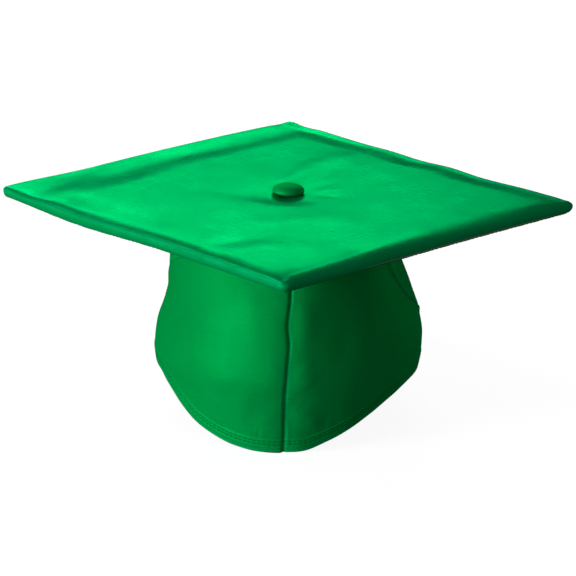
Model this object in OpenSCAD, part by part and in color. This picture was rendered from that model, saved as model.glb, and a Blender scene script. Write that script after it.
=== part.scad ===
// Graduation cap: a square mortarboard with a covered centre button on a soft, stiffened skull cap.
// Millimetres. +Z is up, -Y is the wearer's front, and z = 0 is the plane that the hem stands on.
// A wall of the skull cap is described by azimuth (0 at the front, 90 at the +X side, 180 at the back),
// height, and inset, which is the distance in from the outer surface of the cap.

/* [Mortarboard] */
// Side of the square board, over its cover
board_w = 240; // [200:1:260]
// Thickness of the covered board
board_t = 8; // [7.5:0.1:9]
// Radius of the board's four corners
corner_r = 4; // [3:0.5:8]
// Thickness of the chipboard inside the cover
core_t = 2.5; // [2:0.1:3]
// Width of the margin that the top cover turns under the chipboard
turn_w = 12; // [8:1:20]

/* [Button] */
// Diameter of the covered button
button_d = 19; // [16:0.5:22]
// Height of the covered button
button_h = 5; // [4:0.5:6]
// Radius of the prong that holds the button
prong_r = 1.5; // [1.2:0.1:1.8]
// Space for a tassel's loop under the button
loop_gap = 0.8; // [0.6:0.1:1]

/* [Skull cap] */
// Height of the skull cap at its front point
skull_h = 122; // [105:1:135]
// Half width of the skull cap where it is widest
half_w = 80.5; // [72:0.5:86]
// Half length of the skull cap where it is longest
half_l = 91; // [82:0.5:98]
// Half width of the crown under the board
crown_half_w = 59; // [52:0.5:64]
// Half length of the crown under the board
crown_half_l = 67; // [58:0.5:74]
// Height at which the skull cap is widest
bulge_z = 40; // [30:1:50]
// Rise of the hem at the sides above its front point
side_rise = 27; // [15:1:32]
// Azimuth of the side seams at the crown
seam_top_az = 46; // [40:1:56]
// Azimuth of the side seams at the hem
seam_hem_az = 112; // [104:1:120]

/* [Cloth] */
// Thickness of the satin with its interlining
cloth_t = 0.8; // [0.6:0.1:0.8]
// Thickness of the front stiffener
stiffener_t = 0.8; // [0.6:0.1:0.8]
// Thickness of the lining
lining_t = 0.5; // [0.4:0.1:0.5]
// Height of the turned hem
hem_h = 9; // [8:0.5:10]
// Radius of the sewing thread
thread_r = 0.2; // [0.15:0.05:0.25]
// Width of the elastic band
elastic_w = 7; // [5:0.5:7]

/* [Hidden] */

satin = "#02A850";
dark_satin = "#048A42";
chipboard = "#B8A284";
wadding_white = "#ECECE6";
steel = "#B9BCC0";
lining_green = "#0C7A3E";
elastic_white = "#E6E6E0";
buckram = "#E4DFD0";

// Heights of the layers of the board, from its underside up
under_z = skull_h;
turn_z = under_z + cloth_t;
turn_t = 1;
core_z = turn_z + turn_t;
wadding_z = core_z + core_t;
top_z = under_z + board_t;
fit_gap = 0.2;
core_w = board_w - 2 * (cloth_t + fit_gap);
under_w = board_w - 3;

// The button pulls the top cover down into a shallow dimple
dimple_d = 1.2;
dimple_r = button_d / 2 + 3;
dimple_z = top_z - dimple_d;
button_z = dimple_z + loop_gap;
shell_t = 0.5;
plate_t = 0.6;
prong_clearance = 0.05;
cloth_hole_r = prong_r + 0.7;
washer_t = 0.4;
leg_t = 0.4;
leg_w = 3;
leg_l = 11;

// Layers of the skull cap's wall, as insets from its outer surface
layer_gap = 0.35;
stiffener_in = cloth_t + layer_gap;
lining_in = stiffener_in + stiffener_t + layer_gap;
hem_in = cloth_t + 0.7;
crown_z = skull_h - cloth_t;
hem_tuck = 3;
seam_gap_az = 0.12;
column_az = 5;

// A wall's rows are shares of its height, from its hem (0) to the crown (1). All walls share the
// middle rows, so that the two sides of a side seam follow one line.
hem_share = hem_h / skull_h;
row_count = 12;
middle_rows = [for (j = [1:row_count - 1]) hem_share + (1 - hem_share) * j / row_count];
front_rows = concat([0, hem_share, hem_share + 0.004], middle_rows, [1]);
front_lining_rows = concat([hem_share + 0.02], middle_rows, [0.994]);
// The back slides under the crown, so its walls end below the crown's lining
back_rows = concat([0, hem_share], middle_rows, [0.99]);
back_lining_rows = concat([hem_share + 0.04], middle_rows, [0.99]);

function smooth_step(x) = let (t = min(max(x, 0), 1)) t * t * (3 - 2 * t);

// Height of the hem: a point at the front, high at the sides, flat across the nape
rise_end_az = 72;
nape_start_az = 105;
nape_flat_az = 155;
function hem_z(az) =
  let (side = az > 180 ? 360 - az : abs(az))
  side < nape_start_az
    ? side_rise * pow(sin(min(side / rise_end_az, 1) * 90), 2)
    : side_rise * (1 - smooth_step((side - nape_start_az) / (nape_flat_az - nape_start_az)));

// Share of the way from the widest girth in to the crown, and the slight tuck below the bulge
function taper(z) = pow(max(z - bulge_z, 0) / (skull_h - bulge_z), 1.2);
function tuck(z) = hem_tuck * pow(max(bulge_z - z, 0) / bulge_z, 2);
function girth_w(z) = half_w - (half_w - crown_half_w) * taper(z) - tuck(z);
function girth_l(z) = half_l - (half_l - crown_half_l) * taper(z) - tuck(z);

function on_cap(az, z, inset = 0) =
  [(girth_w(z) - inset) * sin(az), -(girth_l(z) - inset) * cos(az), z];

// Azimuth of a side seam at a share of the wall's height: it leans back as it comes down
seam_bend_az = 68;
seam_side_az = 92;
function seam_az(share) =
  lookup(share, [[0, seam_hem_az], [0.5, seam_side_az], [0.8, seam_bend_az], [1, seam_top_az]]);

// A wall's grid of points: from_az, to_az and inset are functions of the row's share
function wall_grid(rows, columns, from_az, to_az, inset) =
  [for (share = rows)
    [for (i = [0:columns])
      let (az = from_az(share) + (to_az(share) - from_az(share)) * i / columns)
      on_cap(az, hem_z(az) + (crown_z - hem_z(az)) * share, inset(share))]];

// A strip's grid of points: rows are heights above the hem
function strip_grid(heights, columns, from_az, to_az, inset) =
  [for (h = heights)
    [for (i = [0:columns])
      let (az = from_az + (to_az - from_az) * i / columns)
      on_cap(az, hem_z(az) + h, inset)]];

function flatten(grid) = [for (row = grid) each row];
function two_triangles(a, b, c, d) = [[a, b, c], [a, c, d]];

// A closed sheet between an outer and an inner grid of points
module sheet(outer, inner) {
  rows = len(outer);
  columns = len(outer[0]);
  layer = rows * columns;
  function out(j, i) = j * columns + i;
  function in(j, i) = layer + j * columns + i;
  last_j = rows - 1;
  last_i = columns - 1;
  faces = concat(
    [for (j = [0:last_j - 1], i = [0:last_i - 1])
      each two_triangles(out(j, i), out(j + 1, i), out(j + 1, i + 1), out(j, i + 1))],
    [for (j = [0:last_j - 1], i = [0:last_i - 1])
      each two_triangles(in(j, i), in(j, i + 1), in(j + 1, i + 1), in(j + 1, i))],
    [for (i = [0:last_i - 1]) each two_triangles(out(0, i), out(0, i + 1), in(0, i + 1), in(0, i))],
    [for (i = [0:last_i - 1])
      each two_triangles(out(last_j, i), in(last_j, i), in(last_j, i + 1), out(last_j, i + 1))],
    [for (j = [0:last_j - 1]) each two_triangles(out(j, 0), in(j, 0), in(j + 1, 0), out(j + 1, 0))],
    [for (j = [0:last_j - 1])
      each two_triangles(out(j, last_i), out(j + 1, last_i), in(j + 1, last_i), in(j, last_i))]
  );
  polyhedron(points = concat(flatten(outer), flatten(inner)), faces = faces, convexity = 8);
}

function unit(v) = v / norm(v);

// A thread that follows a path, with a six-sided section
module thread(path, reference, closed = false) {
  sides = 6;
  count = len(path);
  links = closed ? count : count - 1;
  function along(k) = closed
    ? unit(path[(k + 1) % count] - path[(k + count - 1) % count])
    : unit(path[min(k + 1, count - 1)] - path[max(k - 1, 0)]);
  rings = [for (k = [0:count - 1])
    let (t = along(k), across = unit(cross(t, reference)), up = cross(across, t))
    for (s = [0:sides - 1])
      path[k] + thread_r * (cos(s * 360 / sides) * across + sin(s * 360 / sides) * up)];
  function at(k, s) = (k % count) * sides + s % sides;
  faces = concat(
    [for (k = [0:links - 1], s = [0:sides - 1])
      each two_triangles(at(k, s), at(k, s + 1), at(k + 1, s + 1), at(k + 1, s))],
    closed ? [] : [[for (s = [sides - 1:-1:0]) at(0, s)], [for (s = [0:sides - 1]) at(count - 1, s)]]
  );
  polyhedron(points = rings, faces = faces, convexity = 8);
}

// ---- Mortarboard ----

// A square with round corners, standing on a corner over the Y axis
module rounded_square(w, h, z, r = corner_r) {
  half = w / 2 - r;
  translate([0, 0, z]) rotate([0, 0, 45]) union() {
    translate([-w / 2, -half, 0]) cube([w, 2 * half, h]);
    translate([-half, -w / 2, 0]) cube([2 * half, w, h]);
    for (x = [-half, half], y = [-half, half])
      translate([x, y, 0]) cylinder(r = r, h = h, $fn = 48);
  }
}

module centre_hole(r, z, h) {
  translate([0, 0, z]) cylinder(r = r, h = h, $fn = 96);
}

module board_core() {
  color(chipboard) difference() {
    rounded_square(core_w, core_t, core_z, corner_r - cloth_t);
    centre_hole(prong_r + prong_clearance, core_z - 1, core_t + 2);
  }
}

module board_wadding() {
  thick = top_z - cloth_t - wadding_z;
  color(wadding_white) difference() {
    rounded_square(core_w, thick, wadding_z, corner_r - cloth_t);
    centre_hole(cloth_hole_r, wadding_z - 1, thick + 2);
    centre_hole(dimple_r + cloth_t + layer_gap, dimple_z - cloth_t - layer_gap, board_t);
  }
}

// The top cover wraps the edges and turns under the chipboard
module board_cover_top() {
  inner_w = board_w - 2 * cloth_t;
  color(satin) difference() {
    union() {
      difference() {
        rounded_square(board_w, top_z - turn_z, turn_z);
        rounded_square(inner_w, top_z - cloth_t - core_z, core_z, corner_r - cloth_t);
        rounded_square(board_w - 2 * turn_w, 2 * turn_t, turn_z - turn_t / 2);
      }
      centre_hole(dimple_r + cloth_t, dimple_z - cloth_t, top_z - dimple_z + cloth_t);
    }
    centre_hole(dimple_r, dimple_z, board_t);
    centre_hole(cloth_hole_r, dimple_z - 2 * cloth_t, board_t);
  }
}

module board_cover_under() {
  color(dark_satin) rounded_square(under_w, cloth_t, under_z);
}

// One thread around the seam between the two covers
module board_edge_stitching() {
  half = under_w / 2 + 2 * thread_r;
  corner = half - corner_r;
  steps = 6;
  path = [for (q = [0:3], s = [0:steps])
    let (centre_az = 45 + 90 * q, a = centre_az - 45 + 90 * s / steps)
    [corner * sqrt(2) * cos(centre_az) + corner_r * cos(a),
     corner * sqrt(2) * sin(centre_az) + corner_r * sin(a),
     turn_z - thread_r - 0.05]];
  color(dark_satin) rotate([0, 0, 45]) thread(path, [0, 0, 1], closed = true);
}

// ---- Button ----

// Half section of a dome: a flat rim, a round shoulder and a crowned top
function dome_outline(r, h, shoulder) = concat(
  [[0, 0], [r - 0.4, 0], [r, 0.5]],
  [for (a = [0:15:75]) [r - shoulder + shoulder * cos(a), h - shoulder - 1 + (shoulder + 0.4) * sin(a)]],
  [[r * 0.45, h - 0.25], [0, h]]
);

module dome(r, h, shoulder) {
  rotate_extrude($fn = 96) polygon(dome_outline(r, h, shoulder));
}

module button_cover() {
  r = button_d / 2;
  color(satin) translate([0, 0, button_z]) difference() {
    dome(r, button_h, 2.4);
    translate([0, 0, shell_t]) dome(r - shell_t, button_h - 2 * shell_t, 2.2);
    translate([0, 0, -1]) cylinder(r = r - 2, h = 3, $fn = 96);
  }
}

module button_shell() {
  r = button_d / 2 - shell_t;
  color(steel) translate([0, 0, button_z + shell_t]) difference() {
    dome(r, button_h - 2 * shell_t, 2.2);
    translate([0, 0, plate_t]) dome(r - shell_t, button_h - 2 * shell_t - plate_t - shell_t, 2);
    translate([0, 0, -1]) cylinder(r = r - 1.2, h = 3, $fn = 96);
  }
}

module button_back_plate() {
  color(steel) translate([0, 0, button_z + shell_t]) difference() {
    cylinder(r = button_d / 2 - shell_t - 1.2, h = plate_t, $fn = 96);
    translate([0, 0, -1]) cylinder(r = prong_r, h = 3, $fn = 96);
  }
}

// A round head above the back plate, a neck through the board, and two legs bent flat under it
module button_prong() {
  head_z = button_z + shell_t + plate_t;
  leg_z = core_z - washer_t - leg_t - 0.05;
  color(steel) union() {
    translate([0, 0, head_z]) cylinder(r = 3.5, h = plate_t, $fn = 96);
    translate([0, 0, leg_z]) cylinder(r = prong_r, h = head_z - leg_z, $fn = 96);
    translate([-leg_l, -leg_w / 2, leg_z]) cube([2 * leg_l, leg_w, leg_t]);
  }
}

module prong_washer() {
  color(steel) translate([0, 0, core_z - washer_t]) difference() {
    cylinder(r = 6, h = washer_t, $fn = 96);
    translate([0, 0, -1]) cylinder(r = prong_r, h = 3, $fn = 96);
  }
}

// ---- Crown of the skull cap ----

function crown_outline(inset) =
  [for (az = [0:column_az:359]) [(crown_half_w - inset) * sin(az), -(crown_half_l - inset) * cos(az)]];

module crown_disc(inset, z, h) {
  translate([0, 0, z]) linear_extrude(h) polygon(crown_outline(inset));
}

module crown_panel() {
  color(dark_satin) crown_disc(0, crown_z, cloth_t);
}

// The thread that joins the crown to the board's under cover runs around the crown's rim
module crown_stitching() {
  path = [for (p = crown_outline(-thread_r - 0.05)) [p.x, p.y, crown_z + cloth_t / 2]];
  color(dark_satin) thread(path, [0, 0, 1], closed = true);
}

module crown_lining() {
  color(lining_green) crown_disc(lining_in, crown_z - lining_t, lining_t);
}

// ---- Front of the skull cap ----

// The right half's edges, as functions of the row. The left half is its mirror image.
front_edge = function(share) 0.2;
side_edge = function(share) seam_az(share) - seam_gap_az;
half_columns = round(seam_hem_az / column_az);
on_outside = function(share) 0;
satin_back = function(share) share <= hem_share ? hem_in : cloth_t;
lining_face = function(share) lining_in;
lining_back_face = function(share) lining_in + lining_t;

module mirror_if(left) {
  mirror([left ? 1 : 0, 0, 0]) children();
}

module front_panel(left) {
  color(satin) mirror_if(left) sheet(
    wall_grid(front_rows, half_columns, front_edge, side_edge, on_outside),
    wall_grid(front_rows, half_columns, front_edge, side_edge, satin_back));
}

// The stiffener stands the front up, and stops short of the seams, the hem and the crown
module stiffener(left) {
  rows = [for (j = [0:8]) 0.1 + 0.68 * j / 8];
  from_az = function(share) 1;
  to_az = function(share) 40 + 22 * (1 - share);
  face = function(share) stiffener_in;
  back_face = function(share) stiffener_in + stiffener_t;
  color(buckram) mirror_if(left) sheet(wall_grid(rows, 12, from_az, to_az, face),
                                       wall_grid(rows, 12, from_az, to_az, back_face));
}

module front_lining(left) {
  color(lining_green) mirror_if(left) sheet(
    wall_grid(front_lining_rows, half_columns, front_edge, side_edge, lining_face),
    wall_grid(front_lining_rows, half_columns, front_edge, side_edge, lining_back_face));
}

module front_panel_left() { front_panel(true); }
module front_panel_right() { front_panel(false); }
module stiffener_left() { stiffener(true); }
module stiffener_right() { stiffener(false); }
module lining_left() { front_lining(true); }
module lining_right() { front_lining(false); }

// The thread of the centre front seam lies just behind the two panels' edges
module front_seam_stitching() {
  path = [for (z = [hem_h + 3:8:crown_z - 4]) on_cap(0, z, cloth_t + 2 * thread_r)];
  color(dark_satin) thread(path, [1, 0, 0]);
}

// Two rows of stitches hold the turned hem of the front panels
module hem_stitching() {
  last_az = seam_hem_az - 3;
  color(dark_satin) for (h = [hem_h - 3.4, hem_h - 1.5])
    thread([for (az = [-last_az:column_az:last_az]) on_cap(az, hem_z(az) + h, -thread_r - 0.1)],
           [0, 0, 1]);
}

module side_seam_stitching(left) {
  path = [for (share = middle_rows)
    let (az = seam_az(share) - 0.6)
    on_cap(az, hem_z(az) + (crown_z - hem_z(az)) * share, cloth_t + 2 * thread_r)];
  color(dark_satin) mirror_if(left) thread(path, [1, 0, 0]);
}

module side_seam_stitching_left() { side_seam_stitching(true); }
module side_seam_stitching_right() { side_seam_stitching(false); }

// ---- Back of the skull cap, which the elastic lets stretch ----

back_from = function(share) seam_az(share) + seam_gap_az;
back_to = function(share) 360 - back_from(share);
back_columns = 40;
nape_from = seam_hem_az + 2;
nape_to = 360 - nape_from;
nape_columns = 30;

module back_panel() {
  satin_inside = function(share) cloth_t;
  color(satin) sheet(wall_grid(back_rows, back_columns, back_from, back_to, on_outside),
                     wall_grid(back_rows, back_columns, back_from, back_to, satin_inside));
}

module lining_back() {
  color(lining_green) sheet(
    wall_grid(back_lining_rows, back_columns, back_from, back_to, lining_face),
    wall_grid(back_lining_rows, back_columns, back_from, back_to, lining_back_face));
}

// A strip around part of the back, from an inset inwards, at even heights above the hem
module nape_strip(heights, columns, from_az, to_az, inset, thick) {
  sheet(strip_grid(heights, columns, from_az, to_az, inset),
        strip_grid(heights, columns, from_az, to_az, inset + thick));
}

module elastic_band() {
  low = 1.2;
  color(elastic_white)
    nape_strip([low, low + elastic_w], nape_columns, nape_from, nape_to, cloth_t + layer_gap, 0.8);
}

// A tape that covers the elastic on the inside
module elastic_casing() {
  color(dark_satin) nape_strip([0.5, hem_h + 1], nape_columns, nape_from, nape_to, lining_in, lining_t);
}

module elastic_stitching() {
  path = [for (az = [nape_from:column_az:nape_to]) on_cap(az, hem_z(az) + hem_h, -thread_r - 0.1)];
  color(dark_satin) thread(path, [0, 0, 1]);
}

// A blank woven label at the middle of the back
module size_label() {
  label_half_az = 9;
  label_t = 0.3;
  color(elastic_white)
    nape_strip([14, 22, 30], 6, 180 - label_half_az, 180 + label_half_az, lining_in + lining_t + 0.1,
               label_t);
}

board_core();
board_wadding();
board_cover_top();
board_cover_under();
board_edge_stitching();
button_cover();
button_shell();
button_back_plate();
button_prong();
prong_washer();
crown_panel();
crown_stitching();
crown_lining();
front_panel_left();
front_panel_right();
stiffener_left();
stiffener_right();
lining_left();
lining_right();
front_seam_stitching();
hem_stitching();
side_seam_stitching_left();
side_seam_stitching_right();
back_panel();
lining_back();
elastic_band();
elastic_casing();
elastic_stitching();
size_label();
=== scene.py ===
"""Looks of the graduation cap: satin over a padded board, a covered button and a stiffened skull cap.

Lengths are metres, or millimetres where a name ends in _MM. Azimuth runs around the skull cap in degrees,
0 at the front seam (-Y), 90 on the +X side and -90 on the -X side. Every piece of cloth is a closed sheet.
"""

import math

import bmesh
import bpy
import numpy as np
from mathutils import Matrix, Vector, noise


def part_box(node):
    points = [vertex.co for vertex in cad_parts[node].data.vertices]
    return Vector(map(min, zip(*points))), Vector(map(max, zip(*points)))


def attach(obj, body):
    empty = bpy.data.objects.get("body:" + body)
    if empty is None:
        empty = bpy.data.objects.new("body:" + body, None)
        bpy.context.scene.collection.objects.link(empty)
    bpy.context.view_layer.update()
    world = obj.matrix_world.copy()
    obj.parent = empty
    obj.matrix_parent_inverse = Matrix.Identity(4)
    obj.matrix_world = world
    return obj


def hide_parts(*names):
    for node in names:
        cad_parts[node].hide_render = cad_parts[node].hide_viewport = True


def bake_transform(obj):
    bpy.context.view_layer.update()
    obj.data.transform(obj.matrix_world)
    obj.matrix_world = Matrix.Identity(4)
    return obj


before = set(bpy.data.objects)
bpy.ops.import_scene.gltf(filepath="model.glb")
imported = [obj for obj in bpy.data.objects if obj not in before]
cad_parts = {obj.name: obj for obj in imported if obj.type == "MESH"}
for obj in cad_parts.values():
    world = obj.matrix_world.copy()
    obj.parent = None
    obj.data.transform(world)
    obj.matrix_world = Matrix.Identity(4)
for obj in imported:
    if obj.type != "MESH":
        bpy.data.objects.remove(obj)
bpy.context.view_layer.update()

MM = 0.001

# ---- Places taken from the frame ----

BOARD_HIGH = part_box("board_cover_top")[1]
UNDER_LOW, UNDER_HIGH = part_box("board_cover_under")
CORE_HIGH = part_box("board_core")[1]
CROWN_LOW, CROWN_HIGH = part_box("crown_panel")
CROWN_LINING_LOW, CROWN_LINING_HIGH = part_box("crown_lining")
BUTTON_LOW, BUTTON_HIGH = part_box("button_cover")

CORNER_R = 4 * MM
HALF_SIDE = (BOARD_HIGH.x + CORNER_R * (math.sqrt(2) - 1)) / math.sqrt(2)
BOARD_TOP = BOARD_HIGH.z
BOARD_UNDER = UNDER_LOW.z
CLOTH_T = UNDER_HIGH.z - UNDER_LOW.z
WALL_TOP_MM = CROWN_LOW.z / MM
CROWN_HALF_W = CROWN_HIGH.x
CROWN_HALF_L = CROWN_HIGH.y
LINING_IN = CROWN_HIGH.x - CROWN_LINING_HIGH.x
LINING_T = CROWN_LINING_HIGH.z - CROWN_LINING_LOW.z
SIDE_NAME = {-1: "left", 1: "right"}


# ---- Numbers: smooth steps, curves and folds ----

def smooth_step(x):
    t = np.clip(x, 0, 1)
    return t * t * (3 - 2 * t)


def bump(distance, width):
    return np.exp(-((distance / width) ** 2))


def curve_through(points, x):
    """A smooth curve through (x, y) points with monotone cubic pieces, flat outside them."""
    px, py = (np.array(v, float) for v in zip(*points))
    slope = np.diff(py) / np.diff(px)
    tangent = np.zeros(len(px))
    inner = slope[:-1] * slope[1:] > 0
    tangent[1:-1][inner] = 2 * slope[:-1][inner] * slope[1:][inner] / (slope[:-1] + slope[1:])[inner]
    tangent[0], tangent[-1] = slope[0], slope[-1]
    x = np.clip(x, px[0], px[-1])
    i = np.clip(np.searchsorted(px, x) - 1, 0, len(px) - 2)
    step = px[i + 1] - px[i]
    t = (x - px[i]) / step
    return ((2 * t**3 - 3 * t**2 + 1) * py[i] + (t**3 - 2 * t**2 + t) * step * tangent[i]
            + (3 * t**2 - 2 * t**3) * py[i + 1] + (t**3 - t**2) * step * tangent[i + 1])


def fold_height(x, y, folds):
    """Sum of soft ridges (height above 0) and valleys (below 0), each along a segment, all in millimetres."""
    total = np.zeros(np.broadcast(x, y).shape)
    for x0, y0, x1, y1, width, height in folds:
        dx, dy = x1 - x0, y1 - y0
        t = np.clip(((x - x0) * dx + (y - y0) * dy) / (dx * dx + dy * dy), 0, 1)
        away = np.hypot(x - x0 - t * dx, y - y0 - t * dy)
        total += height * bump(away, width) * smooth_step(t / 0.4 + 0.15) * smooth_step((1 - t) / 0.4 + 0.15)
    return total


def soft_noise(x, y, size, seed):
    """Smooth noise from about -1 to 1, with hills of about that size."""
    flat = [noise.noise(Vector((a / size, b / size, seed)))
            for a, b in zip(np.ravel(x), np.ravel(y))]
    return 1.6 * np.reshape(flat, np.shape(x))


# ---- Mesh builders ----

def grid_normals(points):
    along_rows = np.gradient(points, axis=0)
    along_columns = np.gradient(points, axis=1)
    normal = np.cross(along_columns, along_rows)
    return normal / np.maximum(np.linalg.norm(normal, axis=2, keepdims=True), 1e-12)


def quads(rows, columns, start=0, wrap=False, flip=False):
    last = columns if wrap else columns - 1
    j, i = np.meshgrid(np.arange(rows - 1), np.arange(last), indexing="ij")
    a = start + j * columns + i
    b = start + j * columns + (i + 1) % columns
    face = np.stack([a, b, b + columns, a + columns], axis=2).reshape(-1, 4)
    return face[:, ::-1] if flip else face


def linked(name, data):
    made = bpy.data.objects.new(name, data)
    bpy.context.scene.collection.objects.link(made)
    return made


def new_object(name, points, faces, uv=None, wear_and_highlight=None):
    """A smooth mesh object. uv is each vertex's place on the cloth in metres. The last argument, from 0 to 1,
    makes the cloth paler: rubbed wear and a painted highlight.
    """
    mesh = bpy.data.meshes.new(name)
    mesh.from_pydata(np.asarray(points).tolist(), [], [list(map(int, f)) for f in faces])
    mesh.validate()
    work = bmesh.new()
    work.from_mesh(mesh)
    bmesh.ops.recalc_face_normals(work, faces=work.faces)
    work.to_mesh(mesh)
    work.free()
    mesh.polygons.foreach_set("use_smooth", [True] * len(mesh.polygons))
    if uv is None:
        uv = np.asarray(points)[:, :2]
    layer = mesh.uv_layers.new(name="weave")
    corner_vertex = np.zeros(len(mesh.loops), int)
    mesh.loops.foreach_get("vertex_index", corner_vertex)
    layer.data.foreach_set("uv", np.asarray(uv, float)[corner_vertex].ravel())
    attribute = mesh.attributes.new("wear_and_highlight", "FLOAT", "POINT")
    attribute.data.foreach_set("value", np.zeros(len(points)) if wear_and_highlight is None else np.ravel(wear_and_highlight))
    return linked(name, mesh)


def rim_loop(rows, columns):
    """Indices of a grid's outline, once around."""
    bottom = [(0, i) for i in range(columns)]
    right = [(j, columns - 1) for j in range(1, rows)]
    top = [(rows - 1, i) for i in range(columns - 2, -1, -1)]
    left = [(j, 0) for j in range(rows - 2, 0, -1)]
    return np.array([j * columns + i for j, i in bottom + right + top + left])


def rim_loop_inside(rows, columns):
    """For each point of rim_loop, the grid point one step further in."""
    j, i = np.divmod(rim_loop(rows, columns), columns)
    return np.clip(j, 1, rows - 2) * columns + np.clip(i, 1, columns - 2)


def cloth_sheet(name, outer, thickness, uv, wear_and_highlight=None):
    """A closed sheet of cloth under a grid of outer points, with a rounded rim all around."""
    rows, columns = outer.shape[:2]
    normal = grid_normals(outer)
    thick = np.broadcast_to(thickness, (rows, columns))[..., None]
    inner = outer - normal * thick
    count = rows * columns
    rim = rim_loop(rows, columns)
    flat_outer, flat_inner = outer.reshape(-1, 3), inner.reshape(-1, 3)
    middle = (flat_outer[rim] + flat_inner[rim]) / 2
    inside = rim_loop_inside(rows, columns)
    outward = middle - (flat_outer[inside] + flat_inner[inside]) / 2
    outward /= np.maximum(np.linalg.norm(outward, axis=1, keepdims=True), 1e-12)
    middle = middle + outward * thick.reshape(-1, 1)[rim] * 0.45
    points = np.concatenate([flat_outer, flat_inner, middle])
    faces = [quads(rows, columns), quads(rows, columns, count, flip=True)]
    following = np.roll(rim, -1)
    own = 2 * count + np.arange(len(rim))
    next_own = np.roll(own, -1)
    faces.append(np.stack([following, rim, own, next_own], axis=1))
    faces.append(np.stack([next_own, own, rim + count, following + count], axis=1))
    flat_uv = np.asarray(uv).reshape(-1, 2)
    all_uv = np.concatenate([flat_uv, flat_uv, flat_uv[rim]])
    if wear_and_highlight is None:
        wear_and_highlight = np.zeros((rows, columns))
    flat_wear_and_highlight = np.ravel(wear_and_highlight)
    # The rolled rim is made paler all around: rubbed wear and a painted highlight on the edge; the inner face
    # is not
    all_wear_and_highlight = np.concatenate([flat_wear_and_highlight, flat_wear_and_highlight * 0, np.maximum(flat_wear_and_highlight[rim], 0.6)])
    return new_object(name, points, np.concatenate(faces), all_uv, all_wear_and_highlight)


def stitch_row(name, path, normals, pitch=3.0 * MM, gap=0.7 * MM, radius=0.24 * MM, lift=0.12 * MM):
    """Separate stitches along a path: each is a short rounded length of thread that dips in at its ends."""
    path, normals = np.asarray(path), np.asarray(normals)
    length = np.concatenate([[0], np.cumsum(np.linalg.norm(np.diff(path, axis=0), axis=1))])
    count = max(1, int(length[-1] / pitch))
    sides, rings = 6, 5
    points, faces = [], []
    for k in range(count):
        start = (k + 0.5) * length[-1] / count - (pitch - gap) / 2
        at = start + np.linspace(0, pitch - gap, rings)
        centre = np.stack([np.interp(at, length, path[:, c]) for c in range(3)], axis=1)
        normal = np.stack([np.interp(at, length, normals[:, c]) for c in range(3)], axis=1)
        normal /= np.linalg.norm(normal, axis=1, keepdims=True)
        along = centre[-1] - centre[0]
        along /= np.linalg.norm(along)
        across = np.cross(along, normal)
        arch = np.sin(np.linspace(0, math.pi, rings))
        centre = centre + normal * (lift * arch - 0.5 * radius * (1 - arch))[:, None]
        size = radius * (0.45 + 0.55 * arch)
        first = len(points)
        for ring in range(rings):
            for s in range(sides):
                a = 2 * math.pi * s / sides
                spoke = math.cos(a) * across[ring] + math.sin(a) * normal[ring]
                points.append(centre[ring] + size[ring] * spoke)
        faces += [[first + r * sides + s, first + r * sides + (s + 1) % sides,
                   first + (r + 1) * sides + (s + 1) % sides, first + (r + 1) * sides + s]
                  for r in range(rings - 1) for s in range(sides)]
        faces.append([first + s for s in range(sides - 1, -1, -1)])
        faces.append([first + (rings - 1) * sides + s for s in range(sides)])
    return new_object(name, points, faces)


# ---- Shape of the board ----

ROLL_W = 3.6 * MM
ROLL_BULGE = 0.9 * MM
# How square the rolled edge is in section: 1 is round, less is squarer
ROLL_SQUARE = {"front_left": 0.72, "front_right": 1.1, "back_left": 0.4, "back_right": 0.6}
PAD_SWELL_MM = 0.9
DIMPLE_DEPTH_MM = 2.2
DIMPLE_W_MM = 12
# Towards the front the dimple is this much deeper, and it rises over this distance from this radius
LONG_DIMPLE, LONG_DIMPLE_FROM_MM, LONG_DIMPLE_OVER_MM = 1.25, 11, 24
FRONT_LEFT_DROOP_MM, FRONT_RIGHT_LIFT_MM = 2.7, 0.7

# The shape of the cover along each edge: (place along the edge, how far in, height), in millimetres. A place
# is measured from the middle of the edge, front edges towards the right and back edges towards the back.
SHOULDERS = {
    "front_left": [(-120, 8, 0.3), (-30, 13, 0.5), (50, 14, 0.6), (85, 20, 1.5), (120, 24, 2.7)],
    "front_right": [(-120, 22, 2.9), (-70, 22, 2.2), (0, 22, 1.3), (50, 28, 1.3), (88, 22, 1.0),
                    (120, 30, 1.8)],
}
FALLS = {
    "back_left": [(-120, 34, 2.2), (-60, 33, 3.2), (-28, 28, 3.2), (14, 23, 3.3), (64, 22, 3.5),
                  (99, 23, 3.9), (120, 23, 3.9)],
    "back_right": [(-120, 22, 2.8), (-85, 18, 1.8), (-53, 17, 1.9), (-28, 15, 1.5), (-4, 17, 2.3),
                   (22, 13, 1.4), (48, 15, 2.3), (88, 12, 1.3), (120, 12, 1.1)],
}
RISES = {
    "back_left": [(-120, 12, 0), (-60, 12, 0.3), (-28, 12, 1.2), (14, 13, 2.2), (64, 14, 2.9), (99, 14, 3.2),
                  (120, 14, 3.1)],
    "back_right": [(-120, 9, 2.9), (-90, 5, 1.1), (-28, 4, 0.3), (0, 4, 0.4), (60, 4, 0.4), (120, 4, 0.3)],
}
FALL_HALF_W_MM = {"back_left": 17, "back_right": 11}
RISE_HALF_W_MM = {"back_left": 13, "back_right": 5}
# How far in from the edge the cover begins to roll over
ROLL_STARTS = {
    "front_left": [(-120, 4), (-60, 6), (-15, 9), (30, 9), (80, 14), (120, 16)],
    "front_right": [(-120, 6), (-57, 9), (-10, 14), (40, 20), (65, 18), (90, 12), (120, 12)],
    "back_left": [(-120, 1.8), (120, 1.8)],
    "back_right": [(-120, 3), (0, 4), (120, 6)],
}

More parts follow.
